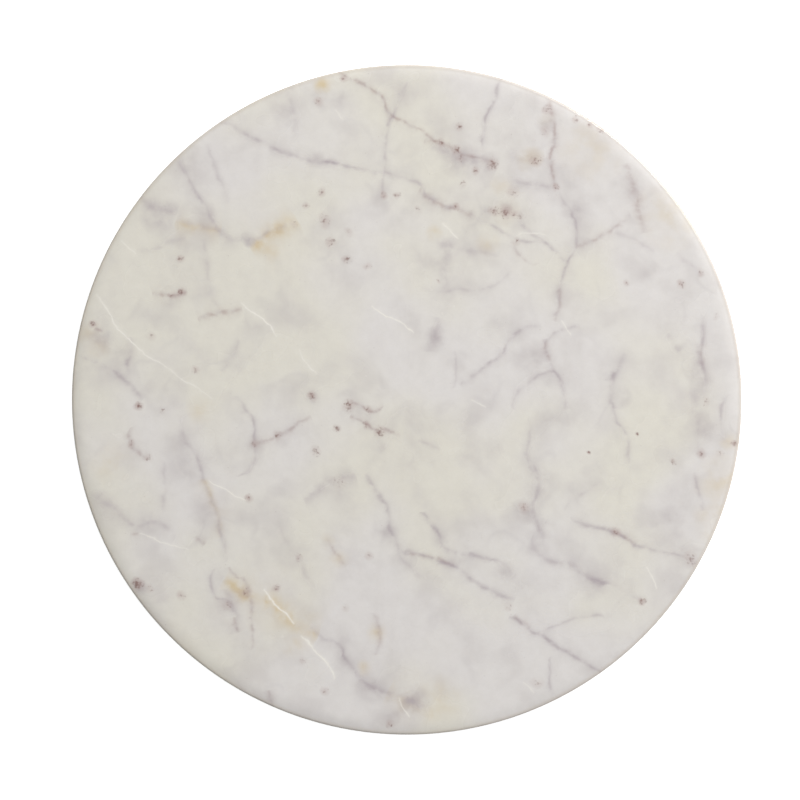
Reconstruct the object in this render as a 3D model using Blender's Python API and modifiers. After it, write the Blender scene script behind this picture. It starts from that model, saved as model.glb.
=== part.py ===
"""Lazy susan turntable: a round marble slab on a ball bearing and a smaller marble base.

Metres, +Z up. The origin is at table level, on the axis that the slab turns about.
Fixed to the base: base disc, feet, lower race plate and its screws and anchors.
Turning with the slab: the slab, upper race plate and its screws and anchors.
Between them: the cage with its balls, which goes round at half the slab's speed.
"""

import math

import bmesh
import bpy
from mathutils import Matrix

MM = 0.001

# ---- driving dimensions ----

SLAB_RADIUS = 152.5 * MM
SLAB_THICKNESS = 15.0 * MM
SLAB_EDGE_RADIUS = 1.4 * MM

BASE_RADIUS = 89.0 * MM
BASE_THICKNESS = 12.0 * MM
BASE_EDGE_RADIUS = 1.4 * MM

FOOT_RADIUS = 8.0 * MM
FOOT_HEIGHT = 4.0 * MM
FOOT_EDGE_RADIUS = 0.8 * MM
FOOT_POCKET_DEPTH = 1.2 * MM
FOOT_RIM_MARGIN = 7.0 * MM

PLATE_WIDTH = 102.0 * MM
PLATE_CORNER_RADIUS = 10.0 * MM
SHEET = 1.0 * MM
SCREW_EDGE_DISTANCE = 8.1 * MM

BALL_RADIUS = 2.4 * MM
BALL_COUNT = 20
BALL_CIRCLE_RADIUS = 36.0 * MM
RACE_ARC = math.radians(40.0)
RACE_STANDOFF = 0.35 * MM    # space behind the race, so that the plate seats on its flat
SHOULDER_WIDTH = 1.6 * MM
RAMP_WIDTH = 2.0 * MM
CAGE_THICKNESS = 1.4 * MM
CAGE_RIM = 1.2 * MM

INNER_RIM_WIDTH = 3.8 * MM
HUB_WALL = 1.0 * MM
LIP_GRIP = 1.9 * MM          # how far the rolled lip covers the upper plate's rim
LIP_THICKNESS = 0.8 * MM

SHANK_RADIUS = 1.8 * MM
HEAD_RADIUS = 3.9 * MM
HEAD_HEIGHT = 2.2 * MM
HEAD_EDGE_RADIUS = 1.3 * MM
SCREW_LENGTH = 8.0 * MM
SCREW_TIP_LENGTH = 1.6 * MM
RECESS_WIDTH = 0.9 * MM
RECESS_SPAN = 4.0 * MM
RECESS_DEPTH = 1.3 * MM

ANCHOR_RADIUS = 3.6 * MM
ANCHOR_LENGTH = 8.2 * MM
ANCHOR_BARB_HEIGHT = 0.4 * MM
ANCHOR_BARBS = 3

ACCESS_HOLE_RADIUS = 9.0 * MM

# ---- clearances ----

SEAT_GAP = 0.1 * MM      # between faces that are clamped together
BOND_GAP = 0.3 * MM      # the epoxy round an anchor or a foot
SCREW_PLAY = 0.5 * MM    # round a screw in its plate
THREAD_GAP = 0.2 * MM    # between a screw and its anchor
RACE_GAP = 0.15 * MM     # between a ball and its race
CAGE_PLAY = 0.2 * MM     # round a ball in its pocket
CAGE_GAP = 0.8 * MM      # above and below the cage
HUB_PLAY = 0.5 * MM      # between the hub and the rim that turns on it
LIP_PLAY = 0.3 * MM      # between the rolled lip and the rim under it

# ---- levels and places that follow from them ----

BEARING_HEIGHT = 2 * (SEAT_GAP + RACE_STANDOFF + SHEET + RACE_GAP + BALL_RADIUS)
BASE_BOTTOM = FOOT_HEIGHT - FOOT_POCKET_DEPTH + SEAT_GAP
BASE_TOP = BASE_BOTTOM + BASE_THICKNESS
SLAB_BOTTOM = BASE_TOP + BEARING_HEIGHT
SLAB_TOP = SLAB_BOTTOM + SLAB_THICKNESS
BALL_LEVEL = (BASE_TOP + SLAB_BOTTOM) / 2
SCREW_CIRCLE_RADIUS = math.sqrt(2) * (PLATE_WIDTH / 2 - SCREW_EDGE_DISTANCE)
FOOT_CIRCLE_RADIUS = BASE_RADIUS - FOOT_RADIUS - FOOT_RIM_MARGIN
HOLE_DEPTH = ANCHOR_LENGTH + BOND_GAP

PLATE_TO_BALLS = BEARING_HEIGHT / 2 - SEAT_GAP
SHOULDER_LEVEL = PLATE_TO_BALLS - CAGE_THICKNESS / 2 - CAGE_GAP
SHOULDER_REACH = (BALL_RADIUS + RACE_GAP) * math.sin(RACE_ARC) + SHOULDER_WIDTH
HUB_RADIUS = BALL_CIRCLE_RADIUS - SHOULDER_REACH - INNER_RIM_WIDTH - HUB_PLAY

QUARTER = math.pi / 2
LOWER_CORNERS = [math.radians(45.0) + number * QUARTER for number in range(4)]
UPPER_CORNERS = [number * QUARTER for number in range(4)]
ACCESS_HOLE_ANGLE = UPPER_CORNERS[3]

# ---- fineness of the round shapes ----

DISC_STEPS = 96
RACE_STEPS = 48
HOLE_STEPS = 24
SMALL_STEPS = 12
ARRIS_STEPS = 3
RACE_ARC_STEPS = 4
CORNER_STEPS = 5
SHARP_ANGLE = math.radians(32.0)
CUT_MARGIN = 1.0 * MM


# ---- collections, materials and the three frames that pieces are parented to ----

for old in list(bpy.data.objects):
    bpy.data.objects.remove(old)


def make_collection(name):
    collection = bpy.data.collections.new(name)
    bpy.context.scene.collection.children.link(collection)
    return collection


turntable = make_collection("lazy_susan_turntable")
cutters = make_collection("cutters")


def make_frame(name):
    """An empty on the turning axis that carries one moving body."""
    frame = bpy.data.objects.new(name, None)
    frame.empty_display_size = HUB_RADIUS
    turntable.objects.link(frame)
    return frame


def make_material(name, colour, roughness, metallic):
    material = bpy.data.materials.new(name)
    material.use_nodes = True
    shader = material.node_tree.nodes["Principled BSDF"]
    shader.inputs["Base Color"].default_value = (*colour, 1.0)
    shader.inputs["Roughness"].default_value = roughness
    shader.inputs["Metallic"].default_value = metallic
    return material


base_frame = make_frame("base_frame")
slab_frame = make_frame("slab_frame")
cage_frame = make_frame("cage_frame")

marble = make_material("polished_marble", (0.68, 0.65, 0.60), 0.22, 0.0)
zinc_sheet = make_material("galvanised_steel", (0.55, 0.57, 0.60), 0.42, 1.0)
ball_steel = make_material("bearing_steel", (0.62, 0.62, 0.63), 0.12, 1.0)
screw_zinc = make_material("zinc_plated_steel", (0.60, 0.60, 0.58), 0.30, 1.0)
nylon = make_material("white_nylon", (0.75, 0.73, 0.67), 0.50, 0.0)
rubber = make_material("grey_rubber", (0.12, 0.12, 0.12), 0.75, 0.0)


# ---- working functions ----

def around(radius, angle, level=0.0):
    """The point at this radius and angle about the turning axis."""
    return (radius * math.cos(angle), radius * math.sin(angle), level)


def screw_places(angles, level=0.0):
    return [around(SCREW_CIRCLE_RADIUS, angle, level) for angle in angles]


def foot_places():
    return [around(FOOT_CIRCLE_RADIUS, angle) for angle in LOWER_CORNERS]


def ball_places():
    step = 2 * math.pi / BALL_COUNT
    return [around(BALL_CIRCLE_RADIUS, number * step, BALL_LEVEL) for number in range(BALL_COUNT)]


def arc(centre, radius, start, end, steps):
    """Profile points on an arc, with angles counted from straight out towards up."""
    angles = [start + (end - start) * step / steps for step in range(steps + 1)]
    return [(centre[0] + radius * math.cos(a), centre[1] + radius * math.sin(a)) for a in angles]


def add_part(name, mesh, material, frame, location=(0.0, 0.0, 0.0)):
    """Put a finished mesh in the turntable; copies of a piece share one mesh."""
    if material.name not in mesh.materials:
        mesh.materials.append(material)
    part = bpy.data.objects.new(name, mesh)
    part.parent = frame
    part.location = location
    turntable.objects.link(part)
    return part


def finished_mesh(blank):
    """The mesh of a working object with its modifiers applied; the object is removed."""
    graph = bpy.context.evaluated_depsgraph_get()
    mesh = bpy.data.meshes.new_from_object(blank.evaluated_get(graph))
    bpy.data.objects.remove(blank)
    mesh.shade_smooth()
    mesh.set_sharp_from_angle(angle=SHARP_ANGLE)
    return mesh


def turned(name, profile, steps, closed=False):
    """The mesh that a profile of (radius, level) points makes when it turns about Z.

    The points run down the outer side. An open profile starts and ends on the axis.
    """
    outline = bmesh.new()
    corners = [outline.verts.new((radius, 0.0, level)) for radius, level in profile]
    for first, second in zip(corners, corners[1:]):
        outline.edges.new((first, second))
    if closed:
        outline.edges.new((corners[-1], corners[0]))
    wire = bpy.data.meshes.new(name)
    outline.to_mesh(wire)
    outline.free()
    blank = bpy.data.objects.new(name, wire)
    turntable.objects.link(blank)
    screw = blank.modifiers.new("turn", "SCREW")
    screw.axis = "Z"
    screw.steps = steps
    screw.render_steps = steps
    screw.use_merge_vertices = True
    screw.merge_threshold = 0.00001
    return finished_mesh(blank)


def add_cutter(name, shape):
    mesh = bpy.data.meshes.new(name)
    shape.to_mesh(mesh)
    shape.free()
    cutter = bpy.data.objects.new(name, mesh)
    cutter.hide_render = True
    cutter.display_type = "WIRE"
    cutters.objects.link(cutter)
    return cutter


def round_cutter(name, radius, places, bottom, top, steps=HOLE_STEPS):
    """Upright rods, one at each place, that cut a set of round holes together."""
    shape = bmesh.new()
    for x, y, _ in places:
        bmesh.ops.create_cone(
            shape, cap_ends=True, segments=steps, radius1=radius, radius2=radius,
            depth=top - bottom, matrix=Matrix.Translation((x, y, (bottom + top) / 2)),
        )
    return add_cutter(name, shape)


def box_shape(width, depth, bottom, top):
    shape = bmesh.new()
    place = Matrix.Translation((0.0, 0.0, (bottom + top) / 2))
    bmesh.ops.create_cube(shape, size=1.0, matrix=place @ Matrix.Diagonal((width, depth, top - bottom, 1.0)))
    return shape


def cut(part, cutter, operation="DIFFERENCE"):
    boolean = part.modifiers.new(cutter.name, "BOOLEAN")
    boolean.operation = operation
    boolean.solver = "EXACT"
    boolean.object = cutter


# ---- marble slab, and the smaller disc that it turns on ----

def disc_profile(radius, bottom, top, arris):
    """A disc with a quarter-round arris above and below."""
    upper = arc((radius - arris, top - arris), arris, QUARTER, 0.0, ARRIS_STEPS)
    lower = arc((radius - arris, bottom + arris), arris, 0.0, -QUARTER, ARRIS_STEPS)
    return [(0.0, top), *upper, *lower, (0.0, bottom)]


def build_slab():
    profile = disc_profile(SLAB_RADIUS, SLAB_BOTTOM, SLAB_TOP, SLAB_EDGE_RADIUS)
    slab = add_part("marble_top", turned("marble_top", profile, DISC_STEPS), marble, slab_frame)
    cut(slab, round_cutter(
        "top_anchor_holes", ANCHOR_RADIUS + BOND_GAP, screw_places(UPPER_CORNERS),
        SLAB_BOTTOM - CUT_MARGIN, SLAB_BOTTOM + HOLE_DEPTH,
    ))


def build_base():
    profile = disc_profile(BASE_RADIUS, BASE_BOTTOM, BASE_TOP, BASE_EDGE_RADIUS)
    base = add_part("base_disc", turned("base_disc", profile, DISC_STEPS), marble, base_frame)
    cut(base, round_cutter(
        "base_anchor_holes", ANCHOR_RADIUS + BOND_GAP, screw_places(LOWER_CORNERS),
        BASE_TOP - HOLE_DEPTH, BASE_TOP + CUT_MARGIN,
    ))
    cut(base, round_cutter(
        "access_hole", ACCESS_HOLE_RADIUS, screw_places([ACCESS_HOLE_ANGLE]),
        BASE_BOTTOM - CUT_MARGIN, BASE_TOP + CUT_MARGIN,
    ))
    cut(base, round_cutter(
        "foot_pockets", FOOT_RADIUS + BOND_GAP, foot_places(),
        BASE_BOTTOM - CUT_MARGIN, BASE_BOTTOM + FOOT_POCKET_DEPTH,
    ))


# ---- rubber feet ----

def build_feet():
    edge_centre = (FOOT_RADIUS - FOOT_EDGE_RADIUS, FOOT_EDGE_RADIUS)
    tread = arc(edge_centre, FOOT_EDGE_RADIUS, 0.0, -QUARTER, ARRIS_STEPS)
    profile = [(0.0, FOOT_HEIGHT), (FOOT_RADIUS, FOOT_HEIGHT), *tread, (0.0, 0.0)]
    mesh = turned("foot", profile, HOLE_STEPS)
    for number, place in enumerate(foot_places(), 1):
        add_part(f"foot_{number}", mesh, rubber, base_frame, place)


# ---- race plates ----

def race_profile():
    """The ball side of a race plate, from the flat round the ring inwards.

    Levels are counted from the face that is screwed against the marble.
    """
    outer_shoulder = BALL_CIRCLE_RADIUS + SHOULDER_REACH
    inner_shoulder = BALL_CIRCLE_RADIUS - SHOULDER_REACH
    groove = arc(
        (BALL_CIRCLE_RADIUS, PLATE_TO_BALLS), BALL_RADIUS + RACE_GAP,
        RACE_ARC - QUARTER, -RACE_ARC - QUARTER, RACE_ARC_STEPS,
    )
    return [
        (outer_shoulder + RAMP_WIDTH, SHEET), (outer_shoulder, SHOULDER_LEVEL),
        *groove, (inner_shoulder, SHOULDER_LEVEL),
    ]


def sheet_back(face):
    """The other side of the sheet, one thickness behind its face."""
    return [(radius, level - SHEET) for radius, level in face]


def square_plate(name, profile, frame):
    """A turned blank trimmed to a square with round corners; the profile is in world levels."""
    plate = add_part(name, turned(name, profile, RACE_STEPS, closed=True), zinc_sheet, frame)
    outline = box_shape(PLATE_WIDTH, PLATE_WIDTH, BASE_BOTTOM, SLAB_TOP)
    upright = [edge for edge in outline.edges if edge.verts[0].co.xy == edge.verts[1].co.xy]
    bmesh.ops.bevel(
        outline, geom=upright, offset=PLATE_CORNER_RADIUS, segments=CORNER_STEPS, profile=0.5,
        affect="EDGES",
    )
    trimmer = add_cutter(f"{name}_outline", outline)
    cut(plate, trimmer, "INTERSECT")
    return plate, trimmer


def build_lower_plate():
    """Its inner rim stands up as a hub and curls out over the upper plate."""
    blank_radius = PLATE_WIDTH
    face = race_profile()
    upper_rim_top = BEARING_HEIGHT - 2 * SEAT_GAP - (SHOULDER_LEVEL - SHEET)
    lip_under = upper_rim_top + LIP_PLAY
    lip_top = lip_under + LIP_THICKNESS
    bore = HUB_RADIUS - HUB_WALL
    lip_reach = HUB_RADIUS + HUB_PLAY + LIP_GRIP
    hub = [
        (bore, SHOULDER_LEVEL - SHEET), (bore, lip_top), (lip_reach, lip_top),
        (lip_reach, lip_under), (HUB_RADIUS, lip_under), (HUB_RADIUS, SHOULDER_LEVEL),
    ]
    outline = [(blank_radius, SHEET), (blank_radius, 0.0), *sheet_back(face), *hub, *face[::-1]]
    seat = BASE_TOP + SEAT_GAP
    plate, _ = square_plate("lower_race_plate", [(r, seat + level) for r, level in outline], base_frame)
    cut(plate, round_cutter(
        "lower_plate_holes", SHANK_RADIUS + SCREW_PLAY, screw_places(LOWER_CORNERS),
        BASE_BOTTOM, SLAB_BOTTOM,
    ))


def build_upper_plate():
    """It faces down and sits an eighth of a turn from the lower plate, clear of its corners."""
    blank_radius = PLATE_WIDTH
    face = race_profile()
    face.append((HUB_RADIUS + HUB_PLAY, SHOULDER_LEVEL))
    outline = [(blank_radius, 0.0), (blank_radius, SHEET), *face, *sheet_back(face)[::-1]]
    seat = SLAB_BOTTOM - SEAT_GAP
    plate, trimmer = square_plate("upper_race_plate", [(r, seat - level) for r, level in outline], slab_frame)
    trimmer.rotation_euler.z = QUARTER / 2
    cut(plate, round_cutter(
        "upper_plate_holes", SHANK_RADIUS + SCREW_PLAY, screw_places(UPPER_CORNERS),
        BASE_TOP, SLAB_TOP,
    ))


# ---- balls and the cage that spaces them ----

def build_balls():
    shape = bmesh.new()
    bmesh.ops.create_uvsphere(shape, u_segments=SMALL_STEPS, v_segments=SMALL_STEPS // 2, radius=BALL_RADIUS)
    mesh = bpy.data.meshes.new("ball")
    shape.to_mesh(mesh)
    shape.free()
    mesh.shade_smooth()
    for number, place in enumerate(ball_places(), 1):
        add_part(f"ball_{number}", mesh, ball_steel, cage_frame, place)


def build_cage():
    half_width = BALL_RADIUS + CAGE_PLAY + CAGE_RIM
    outer = BALL_CIRCLE_RADIUS + half_width
    inner = BALL_CIRCLE_RADIUS - half_width
    bottom = BALL_LEVEL - CAGE_THICKNESS / 2
    top = BALL_LEVEL + CAGE_THICKNESS / 2
    profile = [(outer, top), (outer, bottom), (inner, bottom), (inner, top)]
    cage = add_part("ball_cage", turned("ball_cage", profile, RACE_STEPS, closed=True), nylon, cage_frame)
    cut(cage, round_cutter(
        "ball_pockets", BALL_RADIUS + CAGE_PLAY, ball_places(),
        bottom - CUT_MARGIN, top + CUT_MARGIN, SMALL_STEPS,
    ))


# ---- screws and the anchors they bite in ----

def screw_mesh():
    """A pan-head screw with a cross recess; level 0 is the underside of its head."""
    dome_centre = (HEAD_RADIUS - HEAD_EDGE_RADIUS, HEAD_HEIGHT - HEAD_EDGE_RADIUS)
    dome = arc(dome_centre, HEAD_EDGE_RADIUS, QUARTER, 0.0, ARRIS_STEPS)
    profile = [
        (0.0, HEAD_HEIGHT), *dome, (HEAD_RADIUS, 0.0), (SHANK_RADIUS, 0.0),
        (SHANK_RADIUS, SCREW_TIP_LENGTH - SCREW_LENGTH), (0.0, -SCREW_LENGTH),
    ]
    blank = bpy.data.objects.new("screw", turned("screw", profile, SMALL_STEPS))
    turntable.objects.link(blank)
    recess_bottom = HEAD_HEIGHT - RECESS_DEPTH
    recess_top = HEAD_HEIGHT + CUT_MARGIN
    slots = [(RECESS_SPAN, RECESS_WIDTH), (RECESS_WIDTH, RECESS_SPAN)]
    tools = [add_cutter("recess", box_shape(wide, deep, recess_bottom, recess_top)) for wide, deep in slots]
    for tool in tools:
        cut(blank, tool)
    mesh = finished_mesh(blank)
    for tool in tools:
        bpy.data.objects.remove(tool)
    return mesh


def anchor_mesh():
    """A barbed sleeve; its mouth is at level 0 and it reaches down from there."""
    bore = SHANK_RADIUS + THREAD_GAP
    pitch = ANCHOR_LENGTH / ANCHOR_BARBS
    barbs = []
    for number in range(ANCHOR_BARBS):
        barbs.append((ANCHOR_RADIUS, -number * pitch))
        barbs.append((ANCHOR_RADIUS - ANCHOR_BARB_HEIGHT, -(number + 1) * pitch))
    profile = [*barbs, (bore, -ANCHOR_LENGTH), (bore, 0.0)]
    return turned("anchor", profile, SMALL_STEPS, closed=True)


def build_fasteners():
    screw = screw_mesh()
    anchor = anchor_mesh()
    under_head = SEAT_GAP + SHEET + SEAT_GAP
    for number, place in enumerate(screw_places(LOWER_CORNERS, BASE_TOP + under_head), 1):
        add_part(f"base_screw_{number}", screw, screw_zinc, base_frame, place)
    for number, place in enumerate(screw_places(LOWER_CORNERS, BASE_TOP), 1):
        add_part(f"base_anchor_{number}", anchor, nylon, base_frame, place)
    for number, place in enumerate(screw_places(UPPER_CORNERS, SLAB_BOTTOM - under_head), 1):
        upside_down = add_part(f"top_screw_{number}", screw, screw_zinc, slab_frame, place)
        upside_down.rotation_euler.x = math.pi
    for number, place in enumerate(screw_places(UPPER_CORNERS, SLAB_BOTTOM), 1):
        upside_down = add_part(f"top_anchor_{number}", anchor, nylon, slab_frame, place)
        upside_down.rotation_euler.x = math.pi


build_base()
build_feet()
build_lower_plate()
build_balls()
build_cage()
build_upper_plate()
build_slab()
build_fasteners()
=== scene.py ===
"""The look of the marble turntable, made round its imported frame.

Lengths are metres, +Z is up, and the origin is at table level on the turning axis. Each
section makes one piece or one group of like pieces, in the order that the turntable is put
together: base disc with its anchors and feet, lower race plate and its screws, balls and
cage, upper race plate with its screws and anchors, and last the slab.
"""

import math

import bmesh
import bpy
from mathutils import Matrix, Vector


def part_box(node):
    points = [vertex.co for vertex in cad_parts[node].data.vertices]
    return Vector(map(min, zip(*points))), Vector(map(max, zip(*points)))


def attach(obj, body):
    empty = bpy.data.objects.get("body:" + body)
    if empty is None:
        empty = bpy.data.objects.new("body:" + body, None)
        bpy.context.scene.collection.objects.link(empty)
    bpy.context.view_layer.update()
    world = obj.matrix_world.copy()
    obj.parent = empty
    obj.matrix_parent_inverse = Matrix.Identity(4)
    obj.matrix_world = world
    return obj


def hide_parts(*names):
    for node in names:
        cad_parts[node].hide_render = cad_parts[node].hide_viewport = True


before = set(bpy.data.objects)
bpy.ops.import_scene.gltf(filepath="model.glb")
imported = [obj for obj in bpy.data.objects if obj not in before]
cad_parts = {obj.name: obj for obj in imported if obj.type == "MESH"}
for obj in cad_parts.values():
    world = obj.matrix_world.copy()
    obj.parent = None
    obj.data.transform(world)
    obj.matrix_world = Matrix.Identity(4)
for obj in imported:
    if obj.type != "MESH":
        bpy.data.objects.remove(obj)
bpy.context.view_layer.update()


# ---- base disc ----
# The lower stone that stands on the table, cut from white marble with grey veins. It is
# turned and polished all over with its arrises eased, and drilled from above for the screw
# anchors, from below for the feet, and right through for the screwdriver.

MM = 0.001
QUARTER = math.pi / 2
STONE_STEPS = 256
HOLE_STEPS = 40
ARRIS_STEPS = 6
SHARP_ANGLE = math.radians(32.0)
MERGE_DISTANCE = 0.01 * MM
CUT_MARGIN = 1.0 * MM

BASE_LOW, BASE_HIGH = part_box("base_disc")
BASE_RADIUS = BASE_HIGH.y
BASE_BOTTOM = BASE_LOW.z
BASE_TOP = BASE_HIGH.z
EDGE_RADIUS = 1.4 * MM
FOOT_RADIUS = (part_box("foot_1")[1].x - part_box("foot_1")[0].x) / 2
FOOT_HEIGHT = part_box("foot_1")[1].z
ANCHOR_RADIUS = 3.6 * MM
BOND_GAP = 0.3 * MM
FOOT_SEAT_GAP = 0.1 * MM
ACCESS_HOLE_RADIUS = 9.0 * MM


def middle(node):
    """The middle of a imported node's box."""
    low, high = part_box(node)
    return (low + high) / 2


def numbered(stem, count=4):
    """The names stem_1, stem_2 and so on."""
    return [f"{stem}_{number}" for number in range(1, count + 1)]


def arc(centre, radius, start, end, steps):
    """Profile points on an arc, with angles counted from straight out towards up."""
    angles = [start + (end - start) * step / steps for step in range(steps + 1)]
    return [(centre[0] + radius * math.cos(a), centre[1] + radius * math.sin(a)) for a in angles]


def applied(blank):
    """The mesh of a working object with its modifiers applied; the object is removed."""
    graph = bpy.context.evaluated_depsgraph_get()
    mesh = bpy.data.meshes.new_from_object(blank.evaluated_get(graph))
    bpy.data.objects.remove(blank)
    mesh.shade_smooth()
    mesh.set_sharp_from_angle(angle=SHARP_ANGLE)
    return mesh


def put_in_scene(name, data):
    """A new object in the scene for a mesh, a light or a camera."""
    made = bpy.data.objects.new(name, data)
    bpy.context.scene.collection.objects.link(made)
    return made


def working_object(name, shape):
    """A mesh object in the scene made from a bmesh, to be given modifiers."""
    mesh = bpy.data.meshes.new(name)
    shape.to_mesh(mesh)
    shape.free()
    return put_in_scene(name, mesh)


def turned(name, profile, steps, closed=False):
    """The mesh that a profile of (radius, level) points makes when it turns about Z.

    The points run down the outer side. An open profile starts and ends on the axis.
    """
    outline = bmesh.new()
    corners = [outline.verts.new((radius, 0.0, level)) for radius, level in profile]
    for first, second in zip(corners, corners[1:]):
        outline.edges.new((first, second))
    if closed:
        outline.edges.new((corners[-1], corners[0]))
    blank = working_object(name, outline)
    screw = blank.modifiers.new("turn", "SCREW")
    screw.axis = "Z"
    screw.steps = steps
    screw.render_steps = steps
    screw.use_merge_vertices = True
    screw.merge_threshold = MERGE_DISTANCE
    return applied(blank)


def rods(name, radius, places, bottom, top, steps=HOLE_STEPS):
    """Upright rods, one at each place, that cut a set of round holes together."""
    shape = bmesh.new()
    for place in places:
        bmesh.ops.create_cone(
            shape, cap_ends=True, segments=steps, radius1=radius, radius2=radius,
            depth=top - bottom, matrix=Matrix.Translation((place.x, place.y, (bottom + top) / 2)),
        )
    return working_object(name, shape)


def shaped(mesh, tools, operation="DIFFERENCE"):
    """The mesh after each tool has cut it; the tools are removed."""
    blank = put_in_scene(mesh.name, mesh)
    for tool in tools:
        boolean = blank.modifiers.new(tool.name, "BOOLEAN")
        boolean.operation = operation
        boolean.object = tool
    mesh = applied(blank)
    for tool in tools:
        bpy.data.objects.remove(tool)
    return mesh


def fit_piece(name, mesh, material, body, nodes):
    """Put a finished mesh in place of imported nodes, on the body that carries it."""
    mesh.materials.clear()
    mesh.materials.append(material)
    piece = put_in_scene(name, mesh)
    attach(piece, body)
    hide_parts(*nodes)
    return piece


def linear(code):
    """The linear colour of an sRGB hex code such as #d8d5cd."""
    channels = [int(code[place:place + 2], 16) / 255 for place in (1, 3, 5)]
    return (*[c / 12.92 if c <= 0.04045 else ((c + 0.055) / 1.055) ** 2.4 for c in channels], 1.0)


def new_material(name, uniform):
    """A material with one Principled shader, whose uniform values are set on its sockets."""
    material = bpy.data.materials.new(name)
    material.use_nodes = True
    shader = material.node_tree.nodes["Principled BSDF"]
    for socket, value in uniform.items():
        shader.inputs[socket].default_value = value
    return material, material.node_tree, shader


def add_node(tree, kind, sockets, output=0, **settings):
    """Add a shader node with its settings and links, and give back one of its outputs.

    Each socket gets a value, or a link from another node's output.
    """
    node = tree.nodes.new("ShaderNode" + kind)
    for setting, value in settings.items():
        setattr(node, setting, value)
    for socket, value in sockets.items():
        if isinstance(value, bpy.types.NodeSocket):
            tree.links.new(value, node.inputs[socket])
        else:
            node.inputs[socket].default_value = value
    return node.outputs[output]


def link_finish(tree, shader, varying):
    """Link what varies over a surface to the sockets of its shader."""
    for socket, output in varying.items():
        tree.links.new(output, shader.inputs[socket])


# The inputs and the output that a Mix node has for colours.
UNDER, OVER, MIXED = 6, 7, 2


def in_millimetres(tree):
    """A place on the object, counted in millimetres from its origin."""
    place = add_node(tree, "TexCoord", {}, "Object")
    return add_node(tree, "Mapping", {"Vector": place, "Scale": (1 / MM, 1 / MM, 1 / MM)})


def uneven(tree, place, grain, detail, between, gives):
    """A quality that varies in soft patches one grain, in millimetres, across.

    between is the stretch of the patches' pattern over which it goes from one of the
    values that it gives to the other.
    """
    patches = add_node(tree, "TexNoise", {"Vector": place, "Scale": 1 / grain, "Detail": detail})
    return add_node(tree, "MapRange", {
        "Value": patches, "From Min": between[0], "From Max": between[1],
        "To Min": gives[0], "To Max": gives[1],
    }, interpolation_type="SMOOTHSTEP")


def stained(tree, below, code, found, spread=1.0):
    """A colour over the one below it, as strong as its two amounts multiplied."""
    amount = add_node(tree, "Math", {0: found, 1: spread}, operation="MULTIPLY", use_clamp=True)
    return add_node(tree, "Mix", {
        "Factor": amount, UNDER: below, OVER: linear(code),
    }, MIXED, data_type="RGBA")


def reach_from_axis(tree, place):
    """How far a place is from the turning axis."""
    level = add_node(tree, "VectorMath", {0: place, 1: (1.0, 1.0, 0.0)}, operation="MULTIPLY")
    return add_node(tree, "VectorMath", {0: level}, "Value", operation="LENGTH")


def shape_curve(mapping, points):
    """Draw a smooth curve through the points, flat beyond its ends."""
    mapping.use_clip = False
    mapping.extend = "HORIZONTAL"
    curve = mapping.curves[0]
    curve.points[0].location = points[0]
    curve.points[1].location = points[-1]
    for x, y in points[1:-1]:
        curve.points.new(x, y)
    mapping.update()


# What runs through the stone, in millimetres from the middle of the slab's face. A vein is
# how soft it is across, how strong it is, and the points that it runs through.

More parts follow.
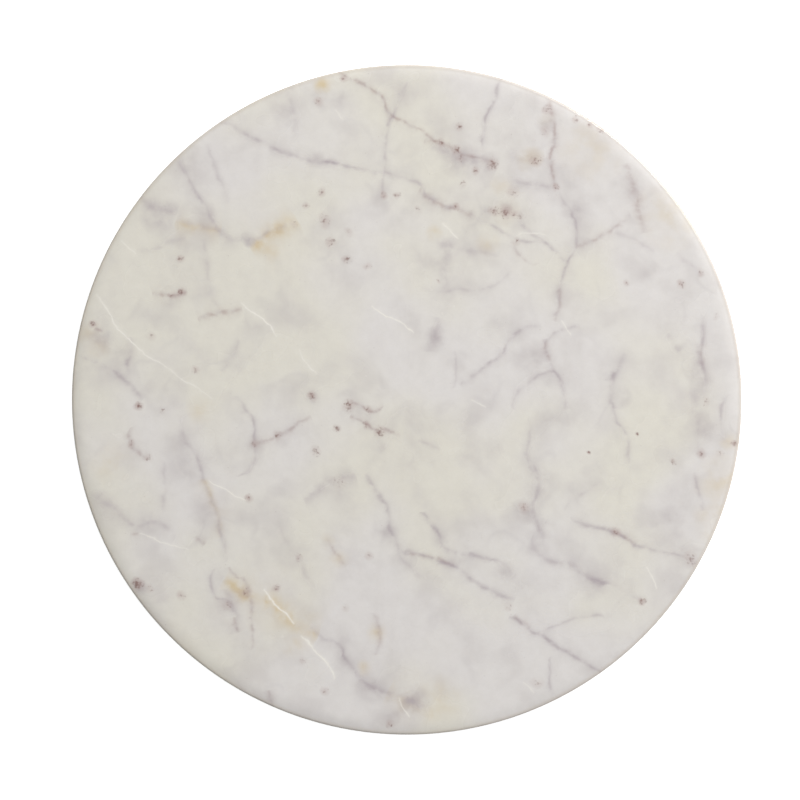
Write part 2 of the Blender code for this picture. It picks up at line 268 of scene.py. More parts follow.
GREY_VEINS = [
    (1.2, 0.55, (-88, 127), (-76, 122), (-66, 117), (-56, 113), (-44, 109), (-34, 108), (-25, 105)),
    (1, 0.45, (-37, 109), (-21, 105), (-10, 103), (1, 100), (8, 95), (13, 90), (22, 87)),
    (0.8, 0.45, (1, 145), (-3, 137), (-6, 129), (-9, 122), (-10, 109), (-10, 93)),
    (0.8, 0.55, (43, 150), (41, 141), (38, 133), (36, 127), (35, 120), (34, 112)),
    (0.8, 0.6, (68, 96), (72, 89), (76, 83), (78, 75), (76, 68), (73, 62), (71, 56), (69, 49), (68, 37)),
    (0.8, 0.5, (51, 83), (58, 75), (63, 71), (68, 66), (73, 62)),
    (0.8, 0.55, (29, 85), (34, 82), (41, 78), (50, 73), (58, 72), (64, 71)),
    (1.2, 0.42, (46, 101), (51, 99), (58, 97), (64, 96), (69, 95)),
    (1, 0.55, (24, 6), (32, 12), (40, 18), (48, 28), (53, 32), (62, 33)),
    (0.9, 0.5, (63, 25), (66, 30), (71, 32), (79, 34)),
    (1.2, 0.5, (63, 23), (65, 16), (68, 12), (71, 6), (71, -5)),
    (1.2, 0.4, (68, 13), (58, 9), (50, 3), (51, -6)),
    (1, 0.3, (6, 50), (23, 50), (32, 51), (41, 54), (48, 60)),
    (1.2, 0.3, (13, 72), (22, 69), (29, 68), (43, 65)),
    (1, 0.45, (-105, 113), (-100, 102), (-98, 98), (-92, 89), (-89, 82), (-85, 75)),
    (1, 0.28, (-91, 117), (-88, 109), (-84, 98), (-80, 89)),
    (1.5, 0.3, (-54, 140), (-52, 129), (-52, 117)),
    (1, 0.3, (-92, 74), (-90, 61), (-89, 50), (-85, 42)),
    (1.2, 0.3, (-123, 68), (-114, 69), (-108, 72), (-100, 73)),
    (1.1, 0.55, (-150, 21), (-143, 18), (-134, 13), (-129, 10), (-123, 4), (-121, -1)),
    (1.3, 0.5, (-126, 28), (-125, 23), (-127, 16), (-126, 9)),
    (1.2, 0.45, (-97, -5), (-103, -11), (-101, -18), (-96, -24), (-94, -30), (-92, -38), (-89, -45)),
    (1.1, 0.45, (-90, -42), (-87, -52), (-85, -58), (-83, -66), (-83, -74)),
    (1.1, 0.5, (-78, 2), (-73, -6), (-69, -13), (-69, -21), (-69, -26), (-71, -30), (-78, -35)),
    (1.5, 0.45, (-140, -46), (-134, -49), (-127, -55), (-119, -57), (-111, -57), (-106, -64)),
    (1, 0.28, (-111, -27), (-110, -36), (-111, -54)),
    (1, 0.3, (-76, 28), (-80, 19), (-85, 13)),
    (1.2, 0.25, (-59, -54), (-54, -65), (-49, -72), (-45, -79), (-42, -87)),
    (1.1, 0.6, (-19, -34), (-14, -41), (-10, -47), (-8, -55), (-7, -60), (-4, -66), (2, -70)),
    (1, 0.62, (-1, -68), (4, -70), (11, -73), (16, -74), (22, -76), (30, -82), (38, -86), (50, -91)),
    (0.9, 0.62, (6, -51), (12, -56), (15, -61), (15, -68)),
    (1, 0.5, (16, -66), (22, -69), (30, -71), (38, -73), (44, -75), (46, -83)),
    (1, 0.28, (-3, -68), (2, -77), (8, -81)),
    (0.9, 0.32, (55, -8), (56, -18), (55, -25), (56, -31), (59, -36)),
    (1.2, 0.6, (56, -28), (59, -36), (59, -44), (58, -51), (59, -57), (62, -64)),
    (1.4, 0.45, (57, -61), (60, -70), (68, -74), (77, -76), (83, -81), (91, -84)),
    (1.2, 0.55, (81, -80), (90, -83), (99, -87), (106, -91)),
    (0.9, 0.6, (46, -99), (52, -101), (56, -105), (62, -107), (68, -111), (76, -116), (83, -120),
     (91, -127)),
    (0.8, 0.5, (59, -106), (66, -103), (74, -101), (81, -99), (90, -99)),
    (0.8, 0.4, (66, -116), (65, -124), (65, -132), (71, -136)),
    (1, 0.55, (75, -53), (84, -57), (93, -60), (101, -63), (106, -66), (113, -68), (129, -71)),
    (0.9, 0.4, (93, -2), (96, -11), (100, -19), (101, -25), (100, -30)),
    (1.2, 0.55, (134, 38), (135, 27), (134, 20), (135, 13), (136, 1)),
    (0.9, 0.45, (131, -33), (133, -41), (135, -51)),
    (1.2, 0.35, (119, 30), (122, 26), (126, 23)),
    (1.4, 0.35, (98, 22), (95, 13), (91, 8)),
    (1.2, 0.35, (122, 67), (126, 63), (130, 60), (135, 57)),
    (0.9, 0.4, (148, 3), (144, 0), (143, -7), (144, -15), (147, -21)),
    (0.8, 0.3, (94, 76), (105, 72), (113, 68)),
    (1, 0.3, (88, -36), (80, -43), (71, -49)),
    (1.3, 0.62, (-44, -103), (-39, -107), (-32, -111), (-29, -117), (-24, -123), (-19, -128), (-14, -131),
     (-3, -135), (8, -140)),
    (0.9, 0.5, (-86, -76), (-89, -85), (-85, -91), (-80, -94), (-79, -97)),
    (0.8, 0.35, (21, 23), (22, 14), (21, 5)),
    (0.9, 0.3, (5, -19), (11, -21), (15, -24)),
    (2, 0.5, (-123, 96), (-118, 91), (-112, 87), (-103, 88)),
    (1.6, 0.45, (-104, 83), (-97, 79), (-89, 77), (-82, 73), (-75, 73)),
    (1.2, 0.4, (-75, 73), (-68, 74), (-62, 77), (-55, 79)),
    (3, 0.3, (20, 74), (18, 67), (19, 58), (16, 50)),
    (2.5, 0.35, (14, 38), (13, 30), (10, 22)),
    (2.5, 0.35, (130, 6), (132, -5), (131, -16), (133, -27)),
    (1.4, 0.45, (97, 16), (94, 8), (92, 2), (96, -5)),
    (2.5, 0.4, (10, 117), (18, 113), (26, 110), (34, 107), (41, 104)),
    (1.8, 0.5, (-47, -47), (-39, -41), (-31, -37), (-23, -36)),
    (1.5, 0.4, (-82, -86), (-79, -94), (-78, -101), (-82, -107)),
]
RUST_VEINS = [
    (0.8, 0.6, (-35, 151), (-26, 146), (-14, 140), (-6, 129), (2, 125), (10, 119), (17, 116)),
    (0.8, 0.62, (8, 117), (13, 117), (18, 116), (22, 113), (29, 111), (35, 109), (41, 106)),
    (1.2, 0.5, (6, 96), (12, 90), (21, 87), (27, 85), (31, 83)),
    (1, 0.65, (61, 140), (65, 133), (67, 123), (66, 113), (66, 103), (68, 95)),
    (0.9, 0.4, (77, 69), (83, 72), (88, 74), (93, 77), (102, 84)),
    (1.4, 0.5, (100, 108), (102, 101), (105, 93), (106, 85), (108, 76)),
    (0.8, 0.35, (68, 35), (69, 42), (69, 50)),
    (0.8, 0.65, (63, 29), (63, 23), (64, 17)),
    (1.1, 0.6, (-95, 36), (-89, 39), (-83, 40), (-75, 42)),
    (1, 0.75, (-116, 48), (-109, 48), (-103, 48), (-100, 51)),
    (1.1, 0.6, (-125, -13), (-125, -20), (-122, -23), (-118, -26)),
    (0.9, 0.5, (-68, -20), (-63, -18), (-59, -16), (-54, -14), (-48, -10), (-43, -9)),
    (0.7, 0.7, (-26, -1), (-20, -3), (-17, -5), (-11, -2)),
    (0.7, 0.65, (-26, -7), (-21, -10), (-18, -11), (-14, -13), (-9, -13), (-4, -16)),
    (0.9, 0.45, (-81, -76), (-77, -81), (-72, -86), (-70, -93), (-71, -99), (-70, -106), (-70, -113)),
    (0.8, 0.45, (-79, -99), (-79, -102), (-77, -106)),
    (1, 0.45, (-16, -96), (-13, -106), (-14, -116)),
    (0.9, 0.4, (-37, -63), (-32, -70), (-28, -77)),
    (0.8, 0.25, (48, 74), (51, 67), (55, 63), (61, 63)),
    (0.9, 0.4, (-1, -69), (8, -72), (16, -73), (22, -76)),
    (0.8, 0.5, (91, -59), (95, -60), (101, -63), (105, -65)),
    (0.8, 0.45, (-96, -62), (-91, -65)),
    (0.7, 0.45, (-126, -62), (-121, -61)),
    (1, 0.45, (-63, -132), (-62, -140)),
    (0.7, 0.5, (-142, 33), (-138, 31)),
    (0.8, 0.4, (49, -98), (52, -101), (56, -104)),
    (0.9, 0.35, (135, 25), (134, 19), (135, 13)),
]
OCHRE_STREAKS = [
    (2.6, 0.85, (-82, -80), (-76, -87), (-68, -91), (-60, -94), (-54, -99), (-47, -103), (-40, -107)),
    (1.2, 0.6, (-93, -36), (-89, -45), (-86, -54), (-85, -62)),
    (3, 0.4, (-9, -133), (-2, -137), (5, -140), (13, -143)),
    (2.2, 1, (-70, 67), (-66, 72), (-61, 76), (-55, 78), (-49, 80)),
    (2, 0.5, (-105, 80), (-98, 78), (-92, 77), (-85, 76)),
]
HEALED_CRACKS = [
    (0.3, 0.75, (-141, 48), (-134, 38), (-129, 30), (-123, 24), (-116, 19), (-109, 14)),
    (0.3, 0.45, (-111, 15), (-101, 9), (-94, 4), (-88, 0)),
    (0.3, 0.85, (-76, 45), (-69, 39), (-63, 35), (-59, 28)),
    (0.3, 0.5, (-49, 24), (-46, 18), (-41, 12)),
    (0.3, 0.7, (-90, -37), (-83, -41), (-72, -46)),
    (0.3, 0.6, (-122, -61), (-113, -64), (-99, -68)),
    (0.4, 0.95, (-65, -86), (-59, -94), (-55, -98), (-51, -102)),
    (0.4, 0.95, (-48, -107), (-40, -116), (-33, -127)),
    (0.3, 0.7, (-4, -135), (1, -145)),
    (0.3, 0.85, (-16, 43), (-10, 39), (-5, 36), (3, 30)),
    (0.3, 0.5, (29, 0), (36, -3)),
    (0.3, 0.6, (16, 80), (23, 73)),
    (0.3, 0.45, (50, 74), (55, 76), (63, 74)),
    (0.3, 0.6, (71, 36), (75, 30)),
    (0.3, 0.7, (108, -76), (111, -81), (114, -87)),
    (0.3, 0.5, (-131, 73), (-127, 70), (-123, 66)),
    (0.3, 0.4, (-33, 132), (-29, 126)),
    (0.3, 0.45, (53, -128), (58, -133)),
]

# Patches of a colour: middle, radius and strength.

GREY_CLOUDS = [
    (-92, 85, 6.5, 0.4), (-72, 73, 4.5, 1), (-40, 136, 6, 0.45), (-107, 47, 7.5, 0.35),
    (-42, 110, 5.5, 0.45), (-57, 133, 6.5, 0.25), (14, 63, 7.5, 0.4), (16, 46, 8, 0.2), (13, 29, 6, 0.5),
    (45, 86, 8, 0.5), (36, 86, 4.5, 0.5), (39, 106, 7, 0.5), (63, 125, 5.5, 0.5), (56, 110, 6.5, 0.35),
    (57, 18, 11, 0.5), (66, 10, 6, 0.4), (77, 86, 7.5, 0.5), (100, 96, 9, 0.3), (-11, 93, 7.5, 0.4),
    (9, 90, 8, 0.3), (-140, -47, 7, 0.6), (-117, -57, 12, 0.3), (-117, 4, 6.5, 0.3), (-99, -31, 10, 0.4),
    (-103, -18, 9, 0.25), (-69, -20, 5.5, 0.45), (-57, -17, 5.5, 0.3), (-43, 1, 6, 0.4), (-18, -9, 8, 0.3),
    (-12, -21, 4.5, 0.4), (-10, -60, 7.5, 0.5), (16, -63, 5.5, 0.4), (39, -22, 5.5, 0.4),
    (3, -28, 6.5, 0.3), (45, -79, 6.5, 0.4), (53, -51, 6.5, 0.6), (59, -66, 8, 0.4), (64, -10, 6, 0.3),
    (134, 11, 9, 0.55), (135, -12, 9, 0.45), (121, -55, 16.5, 0.3), (129, -71, 6.5, 0.45),
    (109, 57, 5.5, 0.3), (-81, -92, 7.5, 0.4), (-112, -91, 11, 0.25), (-28, -119, 7.5, 0.4),
    (-16, -131, 8, 0.5), (-8, -144, 6.5, 0.5), (-92, -50, 9, 0.3), (-63, -135, 5.5, 0.3),
    (-99, 105, 12.5, 0.3), (52, 96, 12, 0.2), (-3, -23, 20, 0.15), (-103, 55, 12.5, 0.15),
    (22, -73, 10, 0.25), (88, -82, 9, 0.25), (-131, 22, 9, 0.3), (70, 46, 6.5, 0.25), (29, 84, 9, 0.25),
    (-31, -39, 9, 0.25), (96, 1, 7, 0.6), (-112, 84, 10, 0.7), (24, 109, 10, 0.65), (-121, -85, 5, 0.6),
    (-30, 136, 8, 0.3), (79, 82, 8, 0.35), (-3, 137, 9, 0.3), (-139, 27, 9, 0.6), (-86, -80, 7, 0.3),
    (3, -138, 9, 0.7), (-72, 73, 3, 1.3), (52, 82, 8, 0.35), (51, 109, 8, 0.3),
    (-112, 0, 9, 0.35), (-24, -5, 9, 0.3), (-30, -109, 8, 0.3),
]
IRON_SPECKS = [
    (-29, 146, 2.5, 0.7), (-40, 136, 3, 0.6), (24, 124, 2.5, 0.9), (16, 117, 2.5, 0.8), (22, 114, 3, 1),
    (39, 107, 3.5, 1), (31, 104, 2.5, 0.8), (25, 98, 2.5, 0.7), (48, 94, 4, 0.6),
    (22, 88, 2.5, 0.7), (-10, 93, 2.5, 0.8), (-4, 93, 2, 0.7), (5, 86, 2, 0.7), (59, 109, 4, 0.7),
    (63, 122, 3, 0.5), (64, 132, 3, 0.8), (-39, 94, 3, 0.8), (-45, 88, 2, 0.6), (-37, 81, 4, 0.6),
    (-34, 71, 3.5, 0.8), (-27, 64, 2.5, 0.9), (-27, 76, 2.5, 0.5), (-18, 61, 2.5, 0.5), (-52, 80, 2.5, 0.5),
    (-103, 49, 3, 1), (-107, 48, 2.5, 0.6), (-103, 64, 2.5, 0.8), (-143, 35, 2.5, 1), (-116, 29, 2.5, 0.6),
    (-96, 13, 2.5, 0.8), (-122, -3, 2.5, 1), (-125, -20, 2.5, 0.7), (-118, -26, 2.5, 0.7),
    (-112, -4, 2, 0.7), (-27, -3, 3.5, 1), (-18, -4, 2.5, 0.9), (-19, -11, 2.5, 0.9), (-12, -14, 3.5, 1),
    (-43, 2, 3, 1), (-32, -13, 2.5, 1), (-42, -23, 3, 0.9), (-69, -20, 3, 0.7), (-59, -16, 2.5, 0.8),
    (-71, -45, 2.5, 0.9), (-31, -38, 4, 0.6), (-59, -86, 2.5, 0.8), (-49, -72, 2.5, 0.7),
    (-73, -88, 3.5, 0.6), (-81, -94, 3, 0.6), (-102, -89, 3, 0.6), (-117, -86, 2.5, 0.6),
    (-17, -71, 2.5, 0.7), (47, -94, 2.5, 0.6), (59, -128, 3.5, 0.5), (107, -91, 2.5, 1), (129, -72, 4, 0.8),
    (95, -60, 3, 0.7), (54, -49, 3.5, 0.6), (136, -1, 2.5, 0.7), (134, -25, 3, 0.8), (143, -25, 2.5, 0.6),
    (149, -20, 2, 1), (121, -28, 2, 0.8), (83, -24, 1.2, 1.2), (104, -16, 1.1, 1.2), (134, 58, 2.5, 0.8),
    (125, 52, 2.5, 0.7), (100, 53, 2, 0.6), (77, 127, 2.5, 0.7), (83, 125, 2, 0.7), (88, 123, 2.5, 0.8),
    (-37, -132, 2.5, 0.5), (-47, -119, 2.5, 0.5), (-7, -148, 2.5, 0.7), (14, 54, 1.4, 0.8),
    (50, 72, 2.5, 0.7), (68, 96, 2.5, 0.8), (-28, -95, 2.5, 0.4), (140, 38, 2, 0.6), (40, 86, 3, 0.9),
    (45, 85, 4, 1), (49, 84, 2.5, 0.8), (51, 83, 2.5, 0.8), (24, 110, 3, 0.7), (-122, -84, 4, 1.3),
]
OCHRE_STAINS = [
    (-63, 68, 7, 0.5), (13, 75, 4.5, 0.4), (37, 71, 6.5, 0.3), (43, 98, 6, 0.3), (56, 110, 7, 0.5),
    (63, 127, 4.5, 0.3), (45, 85, 7, 0.3), (-140, 24, 6, 0.6), (-144, 30, 7.5, 0.35),
    (-51, -112, 7.5, 0.35), (-14, -106, 5.5, 0.45), (-19, -122, 4.5, 0.4), (-31, -73, 5.5, 0.3),
    (144, -37, 14.5, 0.4), (139, -55, 11, 0.35), (120, 84, 18, 0.3), (84, 114, 18, 0.25),
    (-108, -114, 15.5, 0.15), (-135, -28, 12, 0.2), (14, -137, 13.5, 0.3), (147, -19, 5.5, 0.4),
    (-36, -64, 4.5, 0.3), (-38, 144, 5.5, 0.9), (-94, -4, 7.5, 0.3),
]


def add_veins(tree, place, veins, total):
    """Add soft lines to a running total; place is (x, y, 1) in millimetres.

    A line is strong in its middle and has a wide faint haze, and it fades out at its ends.
    """
    for softness, strength, *points in veins:
        start = Vector(points[0])
        chord = Vector(points[-1]) - start
        along = chord / chord.length_squared
        across = Vector((-chord.y, chord.x)) / chord.length / softness
        travel = add_node(tree, "VectorMath", {
            0: place, 1: (*along, -along.dot(start)),
        }, "Value", operation="DOT_PRODUCT")
        side = add_node(tree, "VectorMath", {
            0: place, 1: (*across, -across.dot(start)),
        }, "Value", operation="DOT_PRODUCT")
        route = add_node(tree, "FloatCurve", {"Value": travel})
        offsets = [Vector(point) - start for point in points]
        shape_curve(route.node.mapping, [(along.dot(offset), across.dot(offset)) for offset in offsets])
        miss = add_node(tree, "Math", {0: side, 1: route}, operation="SUBTRACT")
        spread = add_node(tree, "Math", {0: miss, 1: miss, 2: 1.0}, operation="MULTIPLY_ADD")
        presence = add_node(tree, "FloatCurve", {"Value": travel})
        shape_curve(presence.node.mapping, [(0.0, 0.0), (0.15, strength), (0.85, strength), (1.0, 0.0)])
        line = add_node(tree, "Math", {0: presence, 1: spread}, operation="DIVIDE")
        total = add_node(tree, "Math", {0: line, 1: total}, operation="ADD")
    return total


def add_patches(tree, place, patches, total):
    """Add round patches, strongest in the middle; where two overlap the stronger one shows."""
    for x, y, radius, strength in patches:
        distance = add_node(tree, "VectorMath", {0: place, 1: (x, y, 1.0)}, "Value", operation="DISTANCE")
        patch = add_node(tree, "Math", {
            0: distance, 1: -strength / radius, 2: strength,
        }, operation="MULTIPLY_ADD")
        total = add_node(tree, "Math", {0: patch, 1: total}, operation="MAXIMUM")
    return total


def mineral(name, veins=(), patches=()):
    """A node group that turns a place in the stone into how much of one mineral is there."""
    group = bpy.data.node_groups.new(name, "ShaderNodeTree")
    group.interface.new_socket("Place", in_out="INPUT", socket_type="NodeSocketVector")
    group.interface.new_socket("Amount", in_out="OUTPUT", socket_type="NodeSocketFloat")
    place = group.nodes.new("NodeGroupInput").outputs["Place"]
    amount = add_patches(group, place, patches, add_veins(group, place, veins, 0.0))
    group.links.new(amount, group.nodes.new("NodeGroupOutput").inputs["Amount"])
    return group


grey_veins = mineral("grey_veins", veins=GREY_VEINS)
rust_veins = mineral("rust_veins", veins=RUST_VEINS)
healed_cracks = mineral("healed_cracks", veins=HEALED_CRACKS)
grey_clouds = mineral("grey_clouds", patches=GREY_CLOUDS)
iron_specks = mineral("iron_specks", patches=IRON_SPECKS)
ochre_stains = mineral("ochre_stains", veins=OCHRE_STREAKS, patches=OCHRE_STAINS)


def polished_marble(name, turn, shift, face_level, disc_radius):
    """White marble, honed and then polished: soft grey veins under a clear, low gloss.

    turn and shift place the disc's face on the vein pattern, so that two discs from the
    same block aren't alike.
    """
    material, tree, shader = new_material(name, {
        "IOR": 1.5, "Subsurface Weight": 0.15, "Subsurface Scale": 2.5 * MM,
        "Subsurface Radius": (1.0, 0.95, 0.85), "Coat Weight": 0.12, "Coat Roughness": 0.12,
    })
    on_disc = in_millimetres(tree)
    stone = add_node(tree, "Mapping", {
        "Vector": on_disc, "Rotation": (0.0, 0.0, turn),
        "Location": (*shift, -face_level / MM),
    })

    # The veins wander and their edges are ragged, so the place is moved by two noises.
    wander, ragged = 4.0, 1.6
    coarse = add_node(tree, "TexNoise", {"Vector": stone, "Scale": 1 / 14.0, "Detail": 1.0}, "Color")
    drift = add_node(tree, "VectorMath", {
        0: coarse, 1: (wander, wander, wander), 2: stone,
    }, operation="MULTIPLY_ADD")
    fine = add_node(tree, "TexNoise", {"Vector": stone, "Scale": 1 / 3.5, "Detail": 2.0}, "Color")
    drift = add_node(tree, "VectorMath", {
        0: fine, 1: (ragged, ragged, ragged), 2: drift,
    }, operation="MULTIPLY_ADD")
    mean_drift = (wander + ragged) / 2
    drift = add_node(tree, "VectorMath", {
        0: drift, 1: (mean_drift, mean_drift, mean_drift),
    }, operation="SUBTRACT")

    # A vein is a sheet through the stone, which leans as it goes down from the face.
    lean = 0.4
    across = add_node(tree, "SeparateXYZ", {0: drift}, "X")
    down = across.node.outputs["Z"]
    leaning = add_node(tree, "Math", {0: down, 1: lean, 2: across}, operation="MULTIPLY_ADD")
    place = add_node(tree, "CombineXYZ", {"X": leaning, "Y": across.node.outputs["Y"], "Z": 1.0})
    veins, rust, cracks, clouds, iron, ochre = [
        add_node(tree, "Group", {"Place": place}, node_tree=group)
        for group in (grey_veins, rust_veins, healed_cracks, grey_clouds, iron_specks, ochre_stains)
    ]

    # Slow clouds, from greyish white to ivory, with more ivory towards one side of the
    # block, and the sugary calcite grain.
    bedding = add_node(tree, "VectorMath", {
        0: stone, 1: (-0.0006, 0.0002, 0.0),
    }, "Value", operation="DOT_PRODUCT")
    slow = add_node(tree, "TexNoise", {"Vector": stone, "Scale": 1 / 75.0, "Detail": 2.0})
    slow = add_node(tree, "Math", {0: slow, 1: bedding}, operation="ADD")
    ivory = add_node(tree, "MapRange", {
        "Value": slow, "From Min": 0.38, "From Max": 0.62, "To Min": 0.0, "To Max": 1.0,
    }, interpolation_type="SMOOTHSTEP")
    colour = stained(tree, linear("#ddd9d6"), "#ddd9ce", ivory)
    smoke = uneven(tree, stone, 22.0, 4.0, (0.45, 0.72), (0.0, 0.45))
    colour = stained(tree, colour, "#c5bfbd", smoke)
    mottle = uneven(tree, stone, 5.0, 5.0, (0.3, 0.7), (0.0, 0.09))
    colour = stained(tree, colour, "#b9b3ac", mottle)
    grain = add_node(tree, "TexNoise", {"Vector": stone, "Scale": 1 / 1.3, "Detail": 2.0})
    colour = stained(tree, colour, "#a8a29f", grain, 0.1)

    # Faint threads all through the stone, too many to place by hand.
    thread = add_node(tree, "TexNoise", {"Vector": drift, "Scale": 1 / 34.0, "Detail": 2.0})
    thread = add_node(tree, "Math", {0: thread, 1: 0.5}, operation="SUBTRACT")
    thread = add_node(tree, "Math", {0: thread}, operation="ABSOLUTE")
    thread = add_node(tree, "MapRange", {
        "Value": thread, "From Min": 0.0, "From Max": 0.04, "To Min": 0.12, "To Max": 0.0,
    }, interpolation_type="SMOOTHSTEP")
    scarce = uneven(tree, stone, 24.0, 1.0, (0.48, 0.62), (0.0, 1.0))
    colour = stained(tree, colour, "#aea7a9", thread, scarce)

    # Minerals gather in some places along a vein and leave others almost clean.
    gathered = uneven(tree, stone, 7.0, 3.0, (0.3, 0.7), (0.2, 1.15))
    dotted = uneven(tree, stone, 3.4, 3.0, (0.38, 0.66), (0.15, 0.65))
    smoky = uneven(tree, stone, 9.0, 4.0, (0.36, 0.68), (0.35, 1.55))
    clean = uneven(tree, stone, 4.0, 2.0, (0.3, 0.7), (0.7, 1.1))
    beads = add_node(tree, "TexNoise", {"Vector": stone, "Scale": 1 / 1.2, "Detail": 3.0})
    specks = add_node(tree, "Math", {0: iron, 1: 0.42, 2: beads}, operation="MULTIPLY_ADD")
    specks = add_node(tree, "MapRange", {
        "Value": specks, "From Min": 0.66, "From Max": 1.0, "To Min": 0.0, "To Max": 0.75,
    }, interpolation_type="SMOOTHSTEP")
    lines = add_node(tree, "Math", {0: rust, 1: 0.5, 2: veins}, operation="MULTIPLY_ADD")
    colour = stained(tree, colour, "#cfbfa1", ochre, smoky)
    colour = stained(tree, colour, "#b5adad", clouds, smoky)
    colour = stained(tree, colour, "#ada3a6", lines, gathered)
    colour = stained(tree, colour, "#a08781", rust, dotted)
    colour = stained(tree, colour, "#b8a7a2", iron, gathered)
    colour = stained(tree, colour, "#7e625b", specks)
    colour = stained(tree, colour, "#eae6de", cracks, clean)

    # Painted shade: the rim of the face and the upper arris are painted a little warmer and darker all
    # round, standing in for the arris turned away from the light.
    rim = disc_radius / MM
    painted_rim_shade = add_node(tree, "MapRange", {
        "Value": reach_from_axis(tree, on_disc), "From Min": rim - 2.6, "From Max": rim - 0.3,
        "To Min": 0.0, "To Max": 0.4,
    }, interpolation_type="SMOOTHSTEP")
    depth = add_node(tree, "SeparateXYZ", {0: stone}, "Z")
    shallow = add_node(tree, "MapRange", {
        "Value": depth, "From Min": -3.0, "From Max": -1.5, "To Min": 0.0, "To Max": 1.0,
    }, interpolation_type="SMOOTHSTEP")
    # The painted rim shade is laid over the stone's colour, on the upper arris only.
    colour = stained(tree, colour, "#b8ab9a", painted_rim_shade, shallow)

    # Polish: clear over the calcite, a little duller over veins and worn patches.
    worn = uneven(tree, stone, 38.0, 3.0, (0.35, 0.7), (0.20, 0.30))
    dull = add_node(tree, "Math", {0: veins, 1: 0.06, 2: worn}, operation="MULTIPLY_ADD")

    # Grain edges stand a few microns off the polished face.
    bump = add_node(tree, "Bump", {"Height": grain, "Strength": 0.25, "Distance": 0.02 * MM})
    link_finish(tree, shader, {"Base Color": colour, "Roughness": dull, "Normal": bump})
    return material


def disc_mesh(name, profile, drill):
    """A turned stone disc with its holes drilled by the given rods."""
    return shaped(turned(name, profile, STONE_STEPS), drill)


def eased_side(radius, top, bottom, slope=0.0):
    """A disc's side between two eased arrises; slope is the face's fall, an angle, at its edge."""
    edge = radius - EDGE_RADIUS
    upper = arc((edge, top - EDGE_RADIUS), EDGE_RADIUS, QUARTER - slope, 0.0, ARRIS_STEPS)
    return upper + arc((edge, bottom + EDGE_RADIUS), EDGE_RADIUS, 0.0, -QUARTER, ARRIS_STEPS)


base_profile = [
    (0.0, BASE_TOP), *eased_side(BASE_RADIUS, BASE_TOP, BASE_BOTTOM), (0.0, BASE_BOTTOM),
]
base_anchors = [middle(node) for node in numbered("base_anchor")]
feet = [middle(node) for node in numbered("foot")]
access_hole = Vector((0.0, -middle("top_anchor_1").x, 0.0))
anchor_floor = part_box("base_anchor_1")[0].z - BOND_GAP
foot_seat = FOOT_HEIGHT + FOOT_SEAT_GAP

base_mesh = disc_mesh("base_disc", base_profile, [
    rods("anchor_holes", ANCHOR_RADIUS + BOND_GAP, base_anchors, anchor_floor, BASE_TOP + CUT_MARGIN),
    rods("access_hole", ACCESS_HOLE_RADIUS, [access_hole], BASE_BOTTOM - CUT_MARGIN, BASE_TOP + CUT_MARGIN),
    rods("foot_pockets", FOOT_RADIUS + BOND_GAP, feet, BASE_BOTTOM - CUT_MARGIN, foot_seat),
])
base_marble = polished_marble(
    "marble_polished_base", math.radians(130.0), (-34.0, 40.0), BASE_TOP, BASE_RADIUS,
)
fit_piece("marble_base", base_mesh, base_marble, "base", ["base_disc"])


# ---- base anchors ----
# Four nylon sleeves, moulded with barbs and bonded with epoxy into blind holes in the
# stone, because a screw can't hold in marble. The slab has four more of them.

SHANK_RADIUS = 1.8 * MM
THREAD_GAP = 0.2 * MM
ANCHOR_BARB_HEIGHT = 0.4 * MM
ANCHOR_BARBS = 3
MOUTH_CHAMFER = 0.3 * MM
SMALL_STEPS = 48
ANCHOR_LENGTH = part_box("base_anchor_1")[1].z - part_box("base_anchor_1")[0].z


def moulded_nylon(name, code):
    """Natural nylon, injection moulded: milky, a little uneven, with a soft sheen."""
    material, tree, shader = new_material(name, {
        "IOR": 1.53, "Subsurface Weight": 0.2, "Subsurface Scale": 1.0 * MM,
    })
    place = in_millimetres(tree)
    flow = uneven(tree, place, 6.0, 3.0, (0.35, 0.65), (0.0, 0.5))
    colour = stained(tree, linear(code), "#cfc9b8", flow)
    sheen = uneven(tree, place, 2.5, 2.0, (0.3, 0.7), (0.38, 0.55))
    # The spark-eroded mould leaves a 0.1 mm grain, drawn at 0.4 mm so that it shows.
    grain = add_node(tree, "TexNoise", {"Vector": place, "Scale": 1 / 0.4, "Detail": 1.0})
    bump = add_node(tree, "Bump", {"Height": grain, "Strength": 0.3, "Distance": 0.02 * MM})
    link_finish(tree, shader, {"Base Color": colour, "Roughness": sheen, "Normal": bump})
    return material


def anchor_mesh():
    """A barbed sleeve; its mouth is at level 0 and it reaches down from there."""
    bore = SHANK_RADIUS + THREAD_GAP
    pitch = ANCHOR_LENGTH / ANCHOR_BARBS
    barbs = [(ANCHOR_RADIUS - MOUTH_CHAMFER, 0.0), (ANCHOR_RADIUS, -MOUTH_CHAMFER)]
    for number in range(ANCHOR_BARBS):
        foot_of_barb = -(number + 1) * pitch
        barbs.append((ANCHOR_RADIUS - ANCHOR_BARB_HEIGHT, foot_of_barb))
        if number < ANCHOR_BARBS - 1:
            barbs.append((ANCHOR_RADIUS, foot_of_barb))
    profile = [*barbs, (bore, -ANCHOR_LENGTH), (bore, -MOUTH_CHAMFER), (bore + MOUTH_CHAMFER, 0.0)]
    return turned("anchor", profile, SMALL_STEPS, closed=True)


def upright(place, level):
    """The matrix for a fastener that stands at a place with its level 0 at this level."""
    return Matrix.Translation((place.x, place.y, level))


def upside_down(place, level):
    return upright(place, level) @ Matrix.Rotation(math.pi, 4, "X")


def fit_row(blank, stem, stand, level, kind, material, body, count=4):
    """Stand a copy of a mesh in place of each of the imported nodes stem_1, stem_2 and so on."""
    for node in numbered(stem, count):
        mesh = blank.copy()
        mesh.transform(stand(middle(node), level))
        fit_piece(f"{kind}_{node}", mesh, material, body, [node])


nylon = moulded_nylon("nylon_moulded_anchor", "#dedaca")
anchor = anchor_mesh()
fit_row(anchor, "base_anchor", upright, BASE_TOP, "nylon", nylon, "base")


